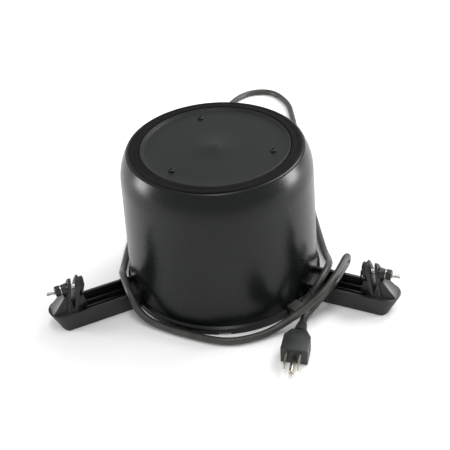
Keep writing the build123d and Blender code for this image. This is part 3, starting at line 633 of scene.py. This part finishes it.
def draw_in_sole(obj, outward):
    """Slopes the round end's wall in towards its sole, like a hull."""
    centre = outward * ARM_END_R * MM
    for vertex in obj.data.vertices:
        from_centre = vertex.co - centre
        ahead = from_centre.dot(outward) / (ARM_HALF_W * MM)
        if vertex.co.z < 0.0008 and ahead > 0:
            vertex.co -= outward * min(ahead, 1.0) * HULL_DRAW_IN * MM
    obj.data.update()


float_arms = []
for arm, azimuth in ARMS.items():
    piece = softened_copy(f"float_arm_{arm}", f"float_arm_{arm}_moulding", 0.5)
    outward = around_z(azimuth).to_3x3() @ Vector((1, 0, 0))
    lean_fork(piece, outward, Vector((0, 0, 1)).cross(outward))
    draw_in_sole(piece, outward)
    root = add_box(
        "root", (ROOT_IN_R, -ROOT_HALF_W, ROOT_TOP_Z), (ROOT_OUT_R, ROOT_HALF_W, ARM_TOP_Z + 2)
    )
    cut(piece, settle(root, around_z(azimuth)))
    boss = turn("lug boss", [
        (LUG_BOSS_BORE_R, -LUG_BOSS_L), (LUG_BOSS_R + 0.6, -LUG_BOSS_L),
        (LUG_BOSS_R, -0.6), (LUG_BOSS_R - 0.6, 0), (LUG_BOSS_BORE_R, 0),
    ], steps=40)
    piece = join([piece, settle(boss, facing_out(azimuth, OUTER_LUG_R))], f"float_arm_{arm}_moulding")
    smooth(piece, 35)
    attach(piece, "pump_body")
    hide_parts(f"float_arm_{arm}")
    float_arms.append(piece)

# ---------------------------------------------------------------- materials


def add_node(tree, kind, values=None, links=None, **settings):
    """Adds a shader node: settings on it, values on its inputs, and links into them."""
    node = tree.nodes.new(kind)
    for key, value in settings.items():
        setattr(node, key, value)
    for key, value in (values or {}).items():
        node.inputs[key].default_value = value
    for key, socket in (links or {}).items():
        tree.links.new(socket, node.inputs[key])
    return node


def start_material(name, **values):
    """A material with its shader's own sockets set, and its node tree."""
    material = bpy.data.materials.new(name)
    material.use_nodes = True
    tree = material.node_tree
    tree.nodes.clear()
    shader = add_node(tree, "ShaderNodeBsdfPrincipled", values)
    add_node(tree, "ShaderNodeOutputMaterial", links={"Surface": shader.outputs["BSDF"]})
    return material, tree, shader


def noise(tree, coords, size_mm, detail=3.0, roughness=0.55):
    """Noise whose blotches are about size_mm across."""
    return add_node(
        tree, "ShaderNodeTexNoise", {"Scale": 1000.0 / size_mm, "Detail": detail, "Roughness": roughness},
        {"Vector": coords},
    ).outputs["Fac"]


def spread(tree, value, low, high, from_low=0.3, from_high=0.7):
    return add_node(
        tree, "ShaderNodeMapRange",
        {"From Min": from_low, "From Max": from_high, "To Min": low, "To Max": high}, {"Value": value},
    ).outputs["Result"]


def two_colours(tree, fac, dark, pale):
    mix = add_node(tree, "ShaderNodeMix", data_type="RGBA")
    ends = {"A": dark, "B": pale}
    for socket in mix.inputs:
        if socket.name in ends and socket.type == "RGBA":
            socket.default_value = linear(ends[socket.name])
    tree.links.new(fac, mix.inputs["Factor"])
    return next(s for s in mix.outputs if s.type == "RGBA")


def moulded(
    name, dark, pale, rough, ior=1.5, grain_mm=0.8, grain=0.04, blotch_mm=45.0, scratch=0.0
):
    """Moulded plastic or rubber: cloudy colour, uneven gloss, a fine skin texture and light scuffs."""
    material, tree, shader = start_material(name, IOR=ior)
    coords = add_node(tree, "ShaderNodeTexCoord").outputs["Object"]
    cloud = noise(tree, coords, blotch_mm, 2.0)
    fine = noise(tree, coords, grain_mm, 2.0)
    tree.links.new(two_colours(tree, spread(tree, cloud, 0, 1), dark, pale), shader.inputs["Base Color"])
    gloss = spread(tree, noise(tree, coords, 12.0, 4.0), rough[0], rough[1])
    if scratch:
        stretched = add_node(
            tree, "ShaderNodeMapping", {"Scale": (1.0, 1.0, 14.0), "Rotation": (0.3, 0.9, 0.2)},
            {"Vector": coords},
        )
        streaks = noise(tree, stretched.outputs["Vector"], 6.0, 5.0, 0.7)
        scuff = spread(tree, streaks, 0.0, scratch, 0.62, 0.72)
        gloss = add_node(tree, "ShaderNodeMath", operation="ADD", links={0: gloss, 1: scuff}).outputs["Value"]
    tree.links.new(gloss, shader.inputs["Roughness"])
    bump = add_node(tree, "ShaderNodeBump", {"Strength": grain, "Distance": 0.0002}, {"Height": fine})
    tree.links.new(bump.outputs["Normal"], shader.inputs["Normal"])
    return material


def metal(name, dark, pale, rough, grain_mm=0.5, stretch=(1, 1, 1)):
    """Bare metal: brushed or turned marks in its gloss and a faint change of tone."""
    material, tree, shader = start_material(name, Metallic=1.0)
    coords = add_node(tree, "ShaderNodeTexCoord").outputs["Object"]
    drawn = add_node(tree, "ShaderNodeMapping", {"Scale": stretch}, {"Vector": coords}).outputs["Vector"]
    marks = noise(tree, drawn, grain_mm, 4.0, 0.65)
    cloud = noise(tree, coords, 8.0, 2.0)
    tree.links.new(two_colours(tree, spread(tree, cloud, 0, 1), dark, pale), shader.inputs["Base Color"])
    tree.links.new(spread(tree, marks, rough[0], rough[1]), shader.inputs["Roughness"])
    bump = add_node(tree, "ShaderNodeBump", {"Strength": 0.15, "Distance": 0.00005}, {"Height": marks})
    tree.links.new(bump.outputs["Normal"], shader.inputs["Normal"])
    return material


# ABS from a polished mould: near black with a cool cast, semi-gloss, so its edges mirror the room
abs_housing = moulded("ABS semi-gloss black", "#060808", "#0A0D0D", (0.26, 0.28), ior=1.36, grain=0.01)
abs_cover = moulded(
    "ABS satin black", "#07090A", "#0B0E0F", (0.4, 0.44), ior=1.36, grain=0.03, scratch=0.04
)
# glass-filled nylon: greyer and duller than the housing, with a faint fibre grain
nylon_arm = moulded(
    "glass-filled nylon black", "#0B0C0C", "#121414", (0.38, 0.52), grain_mm=0.6, grain=0.1, blotch_mm=18
)
# EPDM: the blackest piece, almost without gloss
epdm_ring = moulded(
    "EPDM rubber", "#050504", "#080807", (0.75, 0.85), ior=1.25, grain_mm=0.5, grain=0.12, blotch_mm=20
)
nitrile = moulded("nitrile rubber", "#1A1A1A", "#222222", (0.6, 0.75), grain_mm=0.5, grain=0.15)
# chloroprene sheath: dark grey with a soft sheen and a little bloom
chloroprene = moulded(
    "chloroprene cord rubber", "#2A2A28", "#3B3B38", (0.34, 0.46), grain_mm=1.2, grain=0.12, blotch_mm=14
)
pvc_plug = moulded(
    "PVC plug black", "#161918", "#232625", (0.36, 0.5), grain_mm=0.7, grain=0.12, blotch_mm=10
)
nylon_natural = moulded("nylon natural", "#C9C4B2", "#D6D1C0", (0.4, 0.5))
polypropylene = moulded("polypropylene black", "#151616", "#1D1F1F", (0.42, 0.55))
polypropylene_grey = moulded("polypropylene light grey", "#C6C6C2", "#D2D2CE", (0.4, 0.5))
# A2 stainless: bright, with fine turning marks
stainless = metal("A2 stainless steel", "#8F8F8B", "#B4B4B0", (0.22, 0.4), grain_mm=0.4, stretch=(1, 1, 6))
# A2 with a dark oxide coat: the small screws barely stand out from the cover
oxide_steel = metal("dark oxide steel", "#2C2E2F", "#3A3C3D", (0.35, 0.5), grain_mm=0.4)
# nylon 6 nuts: black and slightly waxy
nylon_nut = moulded(
    "nylon 6 black", "#121313", "#191A1A", (0.4, 0.5), grain_mm=0.6, grain=0.08, blotch_mm=6
)
aluminium = metal("drawn aluminium", "#A9ABAC", "#BFC1C2", (0.3, 0.5), stretch=(1, 1, 0.1))
bronze = metal("sintered bronze", "#8E6A3C", "#A47E4C", (0.4, 0.6), grain_mm=0.3)
electrical_steel = metal(
    "laminated electrical steel", "#5E6062", "#74777A", (0.4, 0.55), stretch=(0.1, 0.1, 4)
)
copper = metal(
    "enamelled copper wire", "#8A4A2A", "#A95F38", (0.25, 0.4), grain_mm=0.6, stretch=(0.2, 0.2, 3)
)
brass_pin = metal("nickel-plated brass", "#9C9788", "#B9B4A4", (0.2, 0.35), grain_mm=0.4)

SLOT_MATERIALS = {
    "housing_plastic": abs_housing, "cover_plastic": abs_cover, "arm_plastic": nylon_arm,
    "foot_rubber": epdm_ring, "gasket_rubber": nitrile, "stainless": stainless,
    "can_aluminium": aluminium, "bearing_bronze": bronze, "electrical_steel": electrical_steel,
    "copper_winding": copper, "propeller_plastic": polypropylene, "guard_plastic": polypropylene,
    "block_plastic": nylon_natural, "capacitor_case": polypropylene_grey, "cord_rubber": chloroprene,
    "plug_plastic": pvc_plug, "plug_brass": brass_pin,
}


def dress(obj, material):
    obj.data.materials.clear()
    obj.data.materials.append(material)


def dress_node(obj, material):
    """A CAD node keeps its mesh: only its slots change."""
    for slot in obj.material_slots:
        slot.link = "OBJECT"
        slot.material = material


for row in frame["record"]["subparts"]:
    if row["node"] in nodes:
        dress_node(nodes[row["node"]], SLOT_MATERIALS[row["material_slot"]])

for piece, material in (
    (power_cord, chloroprene), (entry_relief, chloroprene), (plug_boot, pvc_plug), (plug_body, pvc_plug),
    (top_cover, abs_cover), (foot_ring, epdm_ring),
):
    dress(piece, material)
dress(cover_screws, oxide_steel)
for piece in bright_pieces:
    dress(piece, stainless)
for piece in dark_pieces:
    dress(piece, nylon_nut)
for piece in float_arms:
    dress(piece, nylon_arm)

# ---------------------------------------------------------------- floor and light

deselect()
bpy.ops.mesh.primitive_plane_add(size=12, location=(0, 0, -0.0004))
floor = named("floor")
paper, tree, shader = start_material("matt white paper", Roughness=0.9)
coords = add_node(tree, "ShaderNodeTexCoord").outputs["Object"]
cloud = noise(tree, coords, 300, 2)
tree.links.new(two_colours(tree, cloud, "#F4F4F4", "#F8F8F8"), shader.inputs["Base Color"])
dress(floor, paper)

bpy.context.scene.view_settings.view_transform = "Standard"
world = bpy.data.worlds.new("studio")
bpy.context.scene.world = world
world.use_nodes = True
background = world.node_tree.nodes["Background"]
background.inputs["Color"].default_value = linear("#FFFFFF")
background.inputs["Strength"].default_value = 0.7


def softbox(name, at, target, width, height, watts):
    lamp = bpy.data.lights.new(name, "AREA")
    lamp.shape = "RECTANGLE"
    lamp.size, lamp.size_y = width, height
    lamp.energy = watts
    obj = bpy.data.objects.new(name, lamp)
    bpy.context.scene.collection.objects.link(obj)
    obj.location = at
    obj.rotation_euler = (Vector(target) - Vector(at)).to_track_quat("-Z", "Y").to_euler()


softbox("key", (0.9, 0.75, 1.3), (0, 0, 0.05), 0.7, 0.7, 15)
softbox("left side", (-1.6, 0.1, 0.35), (0, 0, 0.08), 0.5, 0.7, 16)
softbox("right side", (1.6, 0.1, 0.35), (0, 0, 0.08), 0.5, 0.7, 20)
softbox("overhead", (0.0, -0.1, 1.6), (0, 0, 0.1), 0.25, 1.0, 6)
